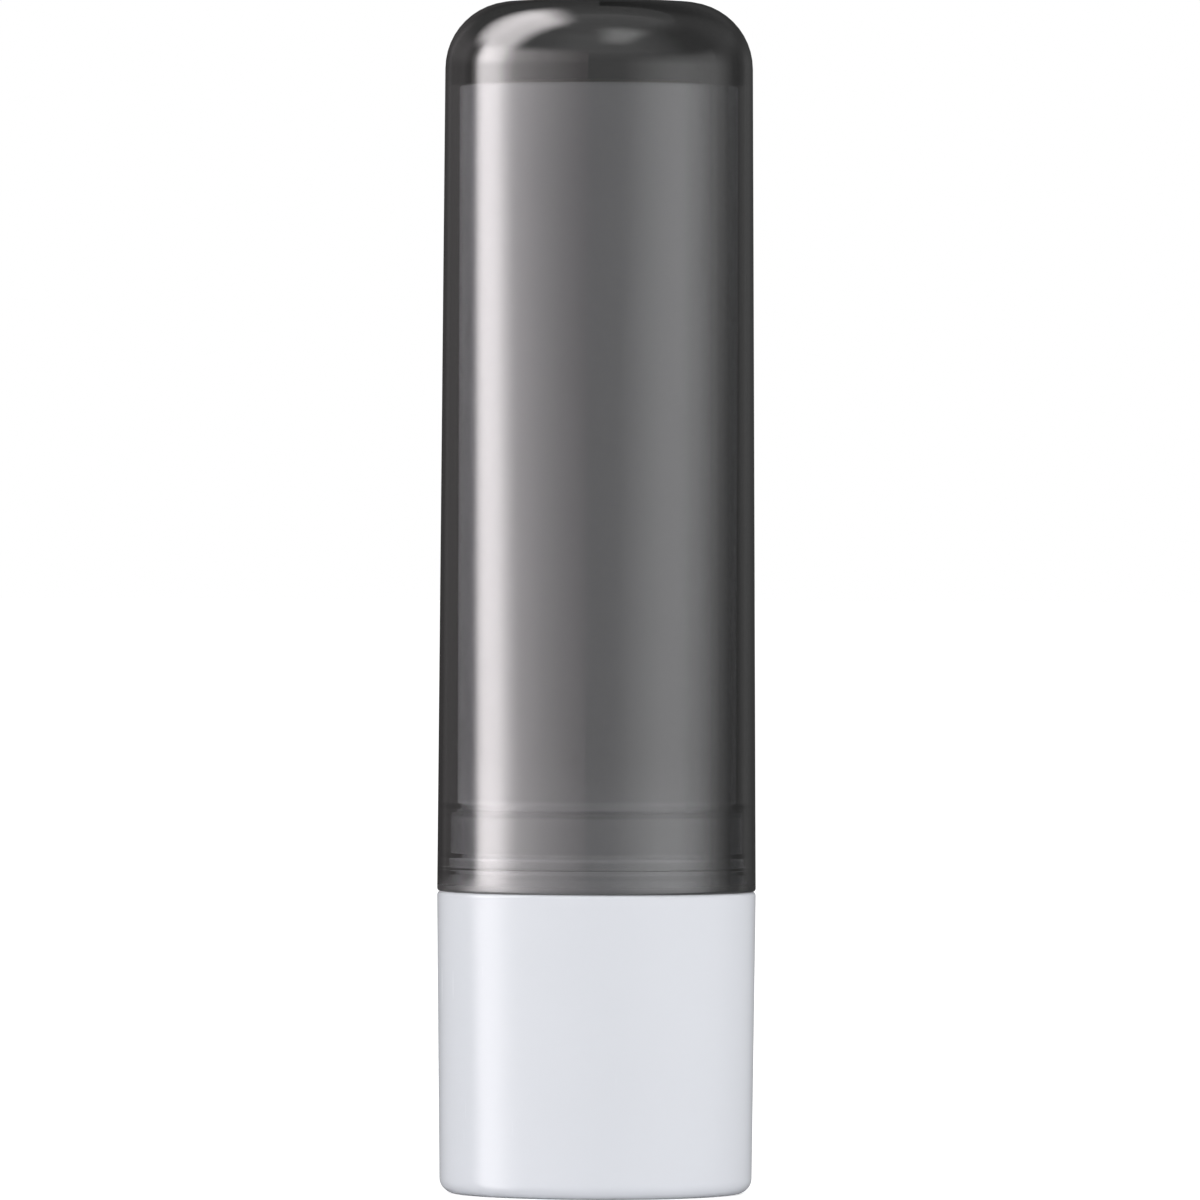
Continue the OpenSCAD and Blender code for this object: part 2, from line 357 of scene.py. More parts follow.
def turned(name, section, steps, closed=False):
    """Draws a section in millimetres point by point and spins it round the axis."""
    put_down()
    first = Vector((section[0][0], 0, section[0][1])) * MM
    bpy.ops.mesh.primitive_plane_add(size=MM, location=first)
    piece = bpy.context.object
    piece.name = piece.data.name = name
    bpy.ops.object.transform_apply(location=True, rotation=True, scale=True)
    bpy.ops.object.mode_set(mode="EDIT")
    bpy.ops.mesh.select_mode(type="VERT")
    bpy.ops.mesh.merge(type="CENTER")
    here = section[0]
    outline = list(section[1:]) + ([section[0]] if closed else [])
    for there in outline:
        move = Vector((there[0] - here[0], 0, there[1] - here[1])) * MM
        bpy.ops.mesh.extrude_vertices_move(TRANSFORM_OT_translate={"value": move})
        here = there
    bpy.ops.mesh.select_all(action="SELECT")
    bpy.ops.mesh.remove_doubles(threshold=0.0005 * MM)
    bpy.ops.mesh.select_all(action="SELECT")
    bpy.ops.mesh.spin(steps=steps, angle=2 * pi, center=(0, 0, 0), axis=(0, 0, 1))
    tidy(piece)
    return piece


def tidy(piece):
    """Merges doubles and turns every face outwards."""
    bpy.ops.mesh.select_all(action="SELECT")
    bpy.ops.mesh.remove_doubles(threshold=0.0005 * MM)
    bpy.ops.mesh.select_all(action="SELECT")
    bpy.ops.mesh.normals_make_consistent(inside=False)
    bpy.ops.mesh.select_all(action="DESELECT")
    bpy.ops.object.mode_set(mode="OBJECT")


def smooth(piece, angle=32):
    """Shades the piece smooth, except over its sharp edges."""
    take(piece)
    bpy.ops.object.shade_smooth_by_angle(angle=radians(angle))


def pick_faces(piece, wanted):
    """Goes into edit mode with the faces selected that the test wants."""
    take(piece)
    for part in (piece.data.vertices, piece.data.edges, piece.data.polygons):
        part.foreach_set("select", [False] * len(part))
    for face in piece.data.polygons:
        face.select = wanted(face.center / MM)
    bpy.ops.object.mode_set(mode="EDIT")
    bpy.ops.mesh.select_mode(type="FACE")


def cut(piece, tool, how):
    """Joins, cuts or meets the piece with a tool, and throws the tool away."""
    take(piece)
    change = piece.modifiers.new("cut", "BOOLEAN")
    change.operation = how
    change.solver = "EXACT"
    change.object = tool
    bpy.ops.object.modifier_apply(modifier=change.name)
    bpy.data.objects.remove(tool, do_unlink=True)


def block(size, place, turn):
    """A box in millimetres, turned round the stick's axis."""
    put_down()
    spot = Vector((place[0] * cos(turn), place[0] * sin(turn), place[1])) * MM
    bpy.ops.mesh.primitive_cube_add(size=1, location=spot, rotation=(0, 0, turn))
    box = bpy.context.object
    box.scale = Vector(size) * MM
    bpy.ops.object.transform_apply(location=True, rotation=True, scale=True)
    return box


def peg(radius, start, end, height, turn):
    """A round peg in millimetres that points away from the stick's axis."""
    put_down()
    middle = (start + end) / 2
    bpy.ops.mesh.primitive_cylinder_add(
        vertices=48,
        radius=radius * MM,
        depth=(end - start) * MM,
        location=Vector((middle * cos(turn), middle * sin(turn), height)) * MM,
        rotation=(0, pi / 2, turn),
    )
    bpy.ops.object.transform_apply(location=True, rotation=True, scale=True)
    return bpy.context.object


def splined_bar(name, low, high, gap):
    """A round bar in millimetres with eight splines along it."""
    put_down()
    # the splines start at half the core's radius: at the axis their corners would meet
    core, root, tip, half = 2 + gap, 1.0, 2.35 + gap, 0.4 + gap
    bpy.ops.mesh.primitive_cylinder_add(
        vertices=96, radius=core * MM, depth=(high - low) * MM,
        location=(0, 0, (low + high) / 2 * MM),
    )
    bar = bpy.context.object
    bar.name = bar.data.name = name
    bpy.ops.object.transform_apply(location=True, rotation=True, scale=True)
    for k in range(8):
        size, place = (tip - root, 2 * half, high - low), ((root + tip) / 2, (low + high) / 2)
        spline = block(size, place, k * pi / 4)
        cut(bar, spline, "UNION")
    return bar


def swept_card(name, section, angle, axis, turn):
    """A curved studio card, seen only in reflections: a section swept round an axis."""
    put_down()
    bpy.ops.mesh.primitive_plane_add(size=MM, location=section[0])
    sheet = bpy.context.object
    sheet.name = sheet.data.name = name
    bpy.ops.object.transform_apply(location=True, rotation=True, scale=True)
    bpy.ops.object.mode_set(mode="EDIT")
    bpy.ops.mesh.select_mode(type="VERT")
    bpy.ops.mesh.merge(type="CENTER")
    for here, there in zip(section, section[1:]):
        move = Vector(there) - Vector(here)
        bpy.ops.mesh.extrude_vertices_move(TRANSFORM_OT_translate={"value": move})
    bpy.ops.mesh.select_all(action="SELECT")
    bpy.ops.mesh.spin(
        steps=max(8, round(abs(degrees(angle)) / 3)), angle=-angle,
        center=(0, 0, 0), axis=axis,
    )
    bpy.ops.object.mode_set(mode="OBJECT")
    sheet.rotation_euler.z = turn
    bpy.ops.object.transform_apply(location=True, rotation=True, scale=True)
    only_reflected(sheet)
    return sheet


def only_reflected(sheet):
    """Leaves a studio card in reflections and takes it out of everything else."""
    sheet.visible_camera = False
    sheet.visible_diffuse = False
    sheet.visible_shadow = False
    sheet.visible_volume_scatter = False


def refinish(node, material):
    """Gives a carried-over CAD node a better material, its shape left as it is."""
    for slot in node.material_slots:
        slot.material = material


def finish(piece, material, body, slot_name, *nodes):
    """Gives a piece its material and its body, and hides the CAD nodes that it stands for."""
    piece.data.materials.clear()
    piece.data.materials.append(material)
    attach(piece, body)
    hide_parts(*nodes)


# Materials


def new_material(name):
    """A new material with an empty node tree, and its output."""
    material = bpy.data.materials.new(name)
    material.use_nodes = True
    tree = material.node_tree
    tree.nodes.clear()
    return material, tree, tree.nodes.new("ShaderNodeOutputMaterial")


def feed(tree, value, socket):
    """Links an output to a socket, or sets the socket to a value."""
    if isinstance(value, bpy.types.NodeSocket):
        tree.links.new(value, socket)
    else:
        socket.default_value = value


def calculate(tree, operation, *values, clamp=False):
    """The result of a sum with outputs or numbers."""
    node = tree.nodes.new("ShaderNodeMath")
    node.operation = operation
    node.use_clamp = clamp
    for value, socket in zip(values, node.inputs):
        feed(tree, value, socket)
    return node.outputs[0]


def between(tree, value, first, last, low=0.0, high=1.0, smooth=False):
    """How far a value has come from first to last, as a value from low to high."""
    node = tree.nodes.new("ShaderNodeMapRange")
    node.interpolation_type = "SMOOTHSTEP" if smooth else "LINEAR"
    tree.links.new(value, node.inputs["Value"])
    for label, limit in (
        ("From Min", first), ("From Max", last), ("To Min", low), ("To Max", high)
    ):
        node.inputs[label].default_value = limit
    return node.outputs["Result"]


def graded(tree, value, steps, power=1):
    """Grey levels, raised to a power, at steps of a value from 0 to 1."""
    ramp = tree.nodes.new("ShaderNodeValToRGB")
    points = ramp.color_ramp.elements
    while len(points) < len(steps):
        points.new(1.0)
    for point, (where, level) in zip(points, sorted(steps.items())):
        point.position = where
        point.color = (level**power, level**power, level**power, 1)
    tree.links.new(value, ramp.inputs["Fac"])
    return ramp.outputs["Color"]


def spread(steps):
    """The same steps, with their places moved to run from 0 to 1."""
    low, high = min(steps), max(steps)
    return {(where - low) / (high - low): level for where, level in steps.items()}


def mixed(tree, factor, first, second, blend="MIX"):
    """A mix of two colours."""
    node = tree.nodes.new("ShaderNodeMix")
    node.data_type = "RGBA"
    node.blend_type = blend
    for label, value in (("Factor", factor), ("A", first), ("B", second)):
        feed(tree, value, node.inputs[label])
    return node.outputs["Result"]


def either(tree, factor, first, second):
    """A mix of two shaders."""
    node = tree.nodes.new("ShaderNodeMixShader")
    for value, socket in zip((factor, first, second), node.inputs):
        tree.links.new(value, socket)
    return node.outputs["Shader"]


def noise(tree, place, scale, detail=2.0, roughness=0.5):
    """Procedural noise round 0.5."""
    node = tree.nodes.new("ShaderNodeTexNoise")
    tree.links.new(place, node.inputs["Vector"])
    for label, value in (("Scale", scale), ("Detail", detail), ("Roughness", roughness)):
        feed(tree, value, node.inputs[label])
    return node.outputs["Fac"]


def bumped(tree, height, strength, distance):
    """A normal that follows a height."""
    node = tree.nodes.new("ShaderNodeBump")
    node.inputs["Strength"].default_value = strength
    node.inputs["Distance"].default_value = distance
    tree.links.new(height, node.inputs["Height"])
    return node.outputs["Normal"]


def object_place(tree):
    """The place on the object, in its own coordinates."""
    return tree.nodes.new("ShaderNodeTexCoord").outputs["Object"]


def by_axis(tree, place):
    """A place split into X, Y and Z."""
    node = tree.nodes.new("ShaderNodeSeparateXYZ")
    tree.links.new(place, node.inputs["Vector"])
    return node.outputs


def seen_rays(tree):
    """1 for rays from the camera and for those that plastic reflects or lets through."""
    path = tree.nodes.new("ShaderNodeLightPath").outputs
    first = calculate(tree, "ADD", path["Is Camera Ray"], path["Is Glossy Ray"])
    return calculate(tree, "ADD", first, path["Is Transmission Ray"], clamp=True)


def group(name, inputs, outputs):
    """A shader node group with named inputs and outputs, or the one already made."""
    if name in bpy.data.node_groups:
        return bpy.data.node_groups[name], None, None
    tree = bpy.data.node_groups.new(name, "ShaderNodeTree")
    for label, kind, value in inputs:
        socket = tree.interface.new_socket(label, in_out="INPUT", socket_type=kind)
        if value is not None:
            socket.default_value = value
    for label, kind in outputs:
        tree.interface.new_socket(label, in_out="OUTPUT", socket_type=kind)
    source = tree.nodes.new("NodeGroupInput")
    sink = tree.nodes.new("NodeGroupOutput")
    return tree, source, sink


def place_group(tree, made, place, **values):
    """Puts a node group into a material with its own values, and gives its outputs."""
    node = tree.nodes.new("ShaderNodeGroup")
    node.node_tree = made
    tree.links.new(place, node.inputs["Place"])
    for label, value in values.items():
        feed(tree, value, node.inputs[label.replace("_", " ")])
    return node.outputs


def moulded_skin():
    """Faint waviness and fine grain of a moulded plastic surface."""
    tree, source, sink = group(
        "moulded skin",
        [
            ("Place", "NodeSocketVector", None),
            ("Wave scale", "NodeSocketFloat", 90.0),
            ("Grain scale", "NodeSocketFloat", 2600.0),
            ("Roughness", "NodeSocketFloat", 0.2),
            ("Variation", "NodeSocketFloat", 0.08),
        ],
        [("Height", "NodeSocketFloat"), ("Roughness", "NodeSocketFloat")],
    )
    if source is None:
        return tree
    given = source.outputs
    grain_share, middle = 0.08, 0.5
    wave = noise(tree, given["Place"], given["Wave scale"], 1.0)
    grain = noise(tree, given["Place"], given["Grain scale"], 3.0)
    height = calculate(tree, "MULTIPLY_ADD", grain, grain_share, wave)
    centred = calculate(tree, "SUBTRACT", grain, middle)
    rough = calculate(
        tree, "MULTIPLY_ADD", centred, given["Variation"], given["Roughness"], clamp=True
    )
    tree.links.new(height, sink.inputs["Height"])
    tree.links.new(rough, sink.inputs["Roughness"])
    return tree


def rub_marks():
    """Hair-thin marks along the stick, from the cap being pulled off and pushed on."""
    tree, source, sink = group(
        "rub marks",
        [("Place", "NodeSocketVector", None), ("Amount", "NodeSocketFloat", 0.3)],
        [("Mask", "NodeSocketFloat")],
    )
    if source is None:
        return tree
    given = source.outputs
    stretch = tree.nodes.new("ShaderNodeMapping")
    stretch.inputs["Scale"].default_value = (1.0, 1.0, 0.035)
    tree.links.new(given["Place"], stretch.inputs["Vector"])
    lines = between(tree, noise(tree, stretch.outputs["Vector"], 5200.0), 0.62, 0.74)
    patches = between(tree, noise(tree, given["Place"], 210.0), 0.45, 0.7)
    both = calculate(tree, "MULTIPLY", lines, patches)
    tree.links.new(calculate(tree, "MULTIPLY", both, given["Amount"]), sink.inputs["Mask"])
    return tree


def mottle():
    """Slow drift between two colours, as in cast wax and pigmented plastic."""
    tree, source, sink = group(
        "mottle",
        [
            ("Place", "NodeSocketVector", None),
            ("Scale", "NodeSocketFloat", 260.0),
            ("Base", "NodeSocketColor", (0.8, 0.8, 0.8, 1.0)),
            ("Cloud", "NodeSocketColor", (0.7, 0.7, 0.7, 1.0)),
            ("Amount", "NodeSocketFloat", 0.5),
        ],
        [("Color", "NodeSocketColor")],
    )
    if source is None:
        return tree
    given = source.outputs
    drift = noise(tree, given["Place"], given["Scale"], 3.0, 0.55)
    amount = calculate(tree, "MULTIPLY", drift, given["Amount"])
    tree.links.new(mixed(tree, amount, given["Base"], given["Cloud"]), sink.inputs["Color"])
    return tree


def painted_wall_shade():
    """Painted shade for the cap's colour, by slant, on the right side, over the skirt and in
    bands by height.
    """
    tree, source, sink = group(
        "painted wall shade",
        [("Place", "NodeSocketVector", None), ("Facing", "NodeSocketFloat", 0.0)],
        [("Color", "NodeSocketColor")],
    )
    if source is None:
        return tree
    slant = source.outputs["Facing"]
    place = by_axis(tree, source.outputs["Place"])
    # the shader takes the root of its colour on the way in, so the levels are squared
    total = graded(tree, slant, FACE_ON_PAINTED_SHADE, 2)
    for side, first, last, steps in (
        ("X", *SHADED_LIMB_SIDE, RIGHT_LIMB_PAINTED_SHADE), ("Z", *SKIRT_SHADE_TOP, SKIRT_PAINTED_SHADE)
    ):
        part = between(tree, place[side], first * MM, last * MM, smooth=True)
        only = mixed(tree, part, WHITE, graded(tree, slant, steps, 2))
        total = mixed(tree, 1.0, total, only, "MULTIPLY")
    # painted shade in bands at the mouth, the snap groove and the skirt's steps
    height = between(tree, place["Z"], min(RING_PAINTED_SHADE) * MM, max(RING_PAINTED_SHADE) * MM)
    ring_shade = graded(tree, height, spread(RING_PAINTED_SHADE), 2)
    tree.links.new(mixed(tree, 1.0, total, ring_shade, "MULTIPLY"), sink.inputs["Color"])
    return tree


def smoked_clear(finishes):
    """Clear smoked plastic: polished, matt at the mouth, darker where it is thicker, and with
    painted shade in its colour.
    """
    material, tree, out = new_material("smoked clear plastic")
    link = tree.links.new
    place = object_place(tree)
    skin = place_group(
        tree, moulded_skin(), place,
        Wave_scale=60.0, Grain_scale=400.0, Roughness=0.035, Variation=0.02,
    )
    marks = place_group(tree, rub_marks(), place, Amount=0.05)
    rough = calculate(tree, "ADD", skin["Roughness"], marks["Mask"])
    first, last = RUBBED_MOUTH
    height = by_axis(tree, place)["Z"]
    rubbed = between(tree, height, first * MM, last * MM, high=RUBBED_ROUGHNESS)
    shader = tree.nodes.new("ShaderNodeBsdfPrincipled")
    shader.inputs["Transmission Weight"].default_value = 1.0
    shader.inputs["IOR"].default_value = 1.57
    link(bumped(tree, skin["Height"], 0.03, 0.01 * MM), shader.inputs["Normal"])
    link(calculate(tree, "ADD", rough, rubbed), shader.inputs["Roughness"])
    facing = tree.nodes.new("ShaderNodeLayerWeight")
    facing.inputs["Blend"].default_value = 0.5
    # painted shade: the cap's colour is darkened by slant, on the right side and in bands, for
    # camera rays only
    depth = place_group(tree, painted_wall_shade(), place, Facing=facing.outputs["Facing"])
    path = tree.nodes.new("ShaderNodeLightPath").outputs
    link(mixed(tree, path["Is Camera Ray"], WHITE, depth["Color"]), shader.inputs["Base Color"])
    # light from the lamps passes straight through to what is inside
    through = tree.nodes.new("ShaderNodeBsdfTransparent")
    through.inputs["Color"].default_value = (0.94, 0.94, 0.94, 1)
    surface = either(
        tree, path["Is Shadow Ray"], shader.outputs["BSDF"], through.outputs["BSDF"]
    )
    link(surface, out.inputs["Surface"])
    smoke = tree.nodes.new("ShaderNodeVolumeAbsorption")
    smoke.inputs["Color"].default_value = (*finishes.smoke, 1)
    smoke.inputs["Density"].default_value = finishes.smoke_density
    link(smoke.outputs["Volume"], out.inputs["Volume"])
    return material


def plastic(
    name, colour, roughness, variation, specular, cloud=0.97, bump_depth=0.02, wave=110.0
):
    """Opaque moulded plastic with faint clouds, waviness and rub marks."""
    material, tree, out = new_material(name)
    link = tree.links.new
    place = object_place(tree)
    skin = place_group(
        tree, moulded_skin(), place,
        Wave_scale=wave, Grain_scale=2600.0, Roughness=roughness, Variation=variation,
    )
    marks = place_group(tree, rub_marks(), place, Amount=0.12)
    tint = place_group(
        tree, mottle(), place,
        Scale=130.0, Base=(*colour, 1), Cloud=(*[c * cloud for c in colour], 1), Amount=0.8,
    )
    shader = tree.nodes.new("ShaderNodeBsdfPrincipled")
    shader.inputs["IOR"].default_value = 1.5
    shader.inputs["Specular IOR Level"].default_value = specular
    rough = calculate(tree, "ADD", skin["Roughness"], marks["Mask"])
    link(tint["Color"], shader.inputs["Base Color"])
    link(rough, shader.inputs["Roughness"])
    link(bumped(tree, skin["Height"], 0.15, bump_depth * MM), shader.inputs["Normal"])
    link(shader.outputs["BSDF"], out.inputs["Surface"])
    return material


def balm_wax(finishes):
    """Cast balm: soft sheen, slight clouds, light goes a little way in."""
    material, tree, out = new_material("balm wax")
    link = tree.links.new
    place = object_place(tree)
    skin = place_group(
        tree, moulded_skin(), place,
        Wave_scale=420.0, Grain_scale=5200.0, Roughness=0.42, Variation=0.25,
    )
    tint = place_group(
        tree, mottle(), place,
        Scale=420.0, Base=(*finishes.wax, 1),
        Cloud=(*[c * 0.88 for c in finishes.wax], 1), Amount=0.9,
    )
    shader = tree.nodes.new("ShaderNodeBsdfPrincipled")
    shader.inputs["IOR"].default_value = 1.44
    shader.inputs["Subsurface Weight"].default_value = 0.35
    shader.inputs["Subsurface Radius"].default_value = (1.0, 0.7, 0.4)
    shader.inputs["Subsurface Scale"].default_value = 0.9 * MM
    link(tint["Color"], shader.inputs["Base Color"])
    link(skin["Roughness"], shader.inputs["Roughness"])
    link(bumped(tree, skin["Height"], 0.35, 0.05 * MM), shader.inputs["Normal"])
    link(shader.outputs["BSDF"], out.inputs["Surface"])
    return material


# Operators, one for each piece


class STICK_OT_cap(bpy.types.Operator):
    """Clear smoked cap with a thick top, a recess in its ceiling and a snap groove"""

    bl_idname = "lip_balm.cap"
    bl_label = "Cap"

    def execute(self, context):
        sizes = context.scene.stick_sizes
        outer, mouth, top = measures(sizes.stick_radius, sizes.mouth_height, sizes.top_height)
        shoulder, draft, wall = 4, 0.33, 0.74
        slope = draft / (top - shoulder - mouth)
        skirt = outer - 0.68
        lead_in, groove, snug, step = skirt + 0.08, skirt + 0.1, skirt - 0.09, skirt - 0.17
        bore = outer - draft - wall
        ceiling, recess_top = top - 4.65, top - 1.55
        landing, recess_radius = 5.9, 5.5
        gate_radius, gate_depth = 0.68, 0.05
        section = rounded(
            [
                (0, top - gate_depth),
                (gate_radius - 0.06, top - gate_depth, 0.05),
                (gate_radius, top, 0.04),
                (outer - slope * (top - mouth), top, shoulder),
                (outer, mouth, 0.18),
                (lead_in, mouth, 0.14),
                (lead_in, mouth + 1.05, 0.15),
                (skirt, mouth + 1.34, 0.15),
                (groove, mouth + 1.45, 0.1),
                (groove, mouth + 2.05, 0.15),
                (skirt, mouth + 2.32, 0.15),
                (skirt, mouth + 4.95, 0.25),
                (snug, mouth + 5.3, 0.25),
                (step, mouth + 8, 0.5),
                (bore, ceiling, 0.5),
                (landing, ceiling),
            ]
        )
        recess = dome((recess_radius, ceiling), recess_top, 22)
        edge = [(landing, ceiling), (recess_radius, ceiling, 0.22), recess[3]]
        section += rounded(edge)[1:] + recess[4:]
        cap = turned("clear_cap", section, sizes.round_steps)
        smooth(cap, 40)
        finish(cap, smoked_clear(context.scene.stick_finishes), "cap", "smoked_cap", "cap")
        return {"FINISHED"}


class STICK_OT_tube(bpy.types.Operator):
    """White tube with a collar, a snap bead, key ribs in its bore and a spigot"""

    bl_idname = "lip_balm.tube"
    bl_label = "Tube"

    def execute(self, context):
        sizes = context.scene.stick_sizes
        rim, mouth = measures(sizes.rim_height, sizes.mouth_height)
        bore, outer, collar, bead = 6.8, 8.3, 8.7, 8.79
        spigot, catch, spigot_bore = 8.0, 8.25, 6.9
        collar_top, bead_high, bead_low = mouth + 4.8, mouth + 2.1, mouth + 1.5
        bead_end, bead_start = mouth + 2.25, mouth + 1.35
        catch_end, catch_high, catch_low, catch_start = 9.6, 9.5, 9.0, 8.6
        journal, floor_low, floor_high = 2.43, 15.2, 16.8
        foot, rib_foot, rib_top, rib_radius = 7.5, 16.95, rim - 6, 6.3
        section = rounded(
            [
                (bore, rib_top),
                (bore, rim, 0.3),
                (outer, rim, 0.3),
                (outer, collar_top, 0.08),
                (collar, collar_top, 0.12),
                (collar, bead_end, 0.1),
                (bead, bead_high, 0.12),
                (bead, bead_low, 0.12),
                (collar, bead_start, 0.1),
                (collar, mouth, 0.05),
                (spigot, mouth, 0.03),
                (spigot, catch_end, 0.03),
                (catch, catch_high, 0.08),
                (catch, catch_low, 0.2),
                (spigot, catch_start, 0.2),
                (spigot, foot, 0.1),
                (spigot_bore, foot, 0.1),
                (spigot_bore, floor_low, 0.2),
                (journal, floor_low, 0.08),
                (journal, floor_high, 0.08),
                (bore, floor_high),
                (bore, rib_foot - 0.05),
                (bore, rib_foot),
            ]
        )
        tube = turned("tube", section, sizes.round_steps, closed=True)
        half_width = pi / 32

        def on_a_rib(centre):
            off = (atan2(centre.y, centre.x) + pi / 4) % (pi / 2) - pi / 4
            in_bore = abs(hypot(centre.x, centre.y) - bore) < 0.02
            return in_bore and abs(off) < half_width and rib_foot < centre.z < rib_top

        pick_faces(tube, on_a_rib)
        bpy.ops.mesh.extrude_region_move()
        inwards = rib_radius / bore
        bpy.ops.transform.resize(value=(inwards, inwards, 1), center_override=(0, 0, 0))
        tidy(tube)
        smooth(tube)
        white = plastic(
            "white tube plastic", context.scene.stick_finishes.white,
            roughness=0.22, variation=0.06, specular=0.4,
        )
        finish(tube, white, "tube", "white_tube", "inner_tube")
        return {"FINISHED"}


class STICK_OT_base(bpy.types.Operator):
    """White base with a rounded foot, a hollow under it, a hub and its webs"""

    bl_idname = "lip_balm.base"
    bl_label = "Base"

    def execute(self, context):
        sizes = context.scene.stick_sizes
        outer, mouth = measures(sizes.stick_radius, sizes.mouth_height)
        socket, groove, groove_low, groove_high = 8.06, 8.31, 8.5, 9.7
        hollow, hollow_depth, floor_top = 7.4, 0.8, 2.2
        gate_radius, gate_top = 0.78, 0.74
        hub, hub_top, counterbore, counterbore_floor = 3.3, 13.2, 2.44, 12.7
        section = rounded(
            [
                (0, gate_top),
                (gate_radius - 0.08, gate_top, 0.05),
                (gate_radius, hollow_depth, 0.04),
                (hollow, hollow_depth, 0.25),
                (hollow, 0, 0.25),
                (outer - 0.2, 0, 0.9),
                (outer, mouth, 0.25),
                (socket, mouth, 0.12),
                (socket, groove_high),
                (groove, groove_high, 0.08),
                (groove, groove_low, 0.08),
                (socket, groove_low),
                (socket, floor_top, 0.3),
                (hub, floor_top, 0.3),
                (hub, hub_top, 0.12),
                (counterbore, hub_top, 0.06),
                (counterbore, counterbore_floor),
                (0, counterbore_floor),
            ]
        )
        base = turned("base", section, sizes.round_steps)
        web_size, web_place = (5.2, 0.9, 5.1), (5.68, 4.45)
        for k in range(6):
            cut(base, block(web_size, web_place, radians(30 + 60 * k)), "UNION")
        cut(base, splined_bar("socket", low=3.2, high=14, gap=0.02), "DIFFERENCE")
        smooth(base)
        white = plastic(
            "white base plastic", context.scene.stick_finishes.white,
            roughness=0.2, variation=0.04, specular=0.22, bump_depth=0.008,
        )
        finish(base, white, "base", "white_base", "turn_base")
        return {"FINISHED"}


class STICK_OT_drive(bpy.types.Operator):
    """Finish of the lead screw and the carrier, whose CAD shapes are kept as they are"""

    bl_idname = "lip_balm.drive"
    bl_label = "Screw and carrier"

    def execute(self, context):
        natural = context.scene.stick_finishes.natural
        lighter = [c * 1.03 for c in natural]
        screw = plastic(
            "screw plastic", natural,
            roughness=0.36, variation=0.12, specular=0.4, cloud=0.93, bump_depth=0.04, wave=260.0,
        )
        carrier = plastic(
            "carrier plastic", lighter,
            roughness=0.42, variation=0.14, specular=0.4, cloud=0.94, bump_depth=0.05, wave=320.0,
        )
        refinish(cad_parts["spindle"], screw)
        refinish(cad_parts["balm_carrier"], carrier)
        return {"FINISHED"}


class STICK_OT_balm(bpy.types.Operator):
    """Balm cast round the carrier, with a domed top and flutes over the key ribs"""

    bl_idname = "lip_balm.balm"
    bl_label = "Balm"

    def execute(self, context):
        sizes = context.scene.stick_sizes
        top = sizes.balm_height / MM
        outer, crown_low = 6.75, top - 0.4
        screw_room, screw_top, nut, plate = 2.55, 60.75, 3.42, 18.12
        nut_top, fingers, finger_top = 24.42, 5.68, 24.12
        section = rounded(
            [
                (screw_room, screw_top),
                (screw_room, nut_top),
                (nut, nut_top),
                (nut, plate),
                (fingers, plate),
                (fingers, finger_top),
                (outer, finger_top),
                (outer, crown_low),
            ]
        )
        crown = dome((outer, crown_low), top, 26)
        section = [(0, screw_top)] + section[:-1]
        section += rounded([section[-1], (outer, crown_low, 0.12), crown[2]])[1:] + crown[3:]
        balm = turned("balm_stick", section, sizes.round_steps)
        window_radius, window_height, plug_start, plug_end = 1.18, 21.1, 5.2, 6.5
        flute_size, flute_top, flute_radius = (1.2, 1.44, 37.12), 60.12, 6.78
        flute_place = flute_radius, flute_top - flute_size[2] / 2
        for k in range(4):
            # the balm fills the grip windows of the carrier's fingers
            turn = radians(45 + 90 * k)
            cut(balm, peg(window_radius, plug_start, plug_end, window_height, turn), "UNION")
            # and has a flute over each key rib of the tube
            cut(balm, block(flute_size, flute_place, radians(90 * k)), "DIFFERENCE")
        smooth(balm)
        finish(balm, balm_wax(context.scene.stick_finishes), "carrier", "balm_wax", "balm")
        return {"FINISHED"}


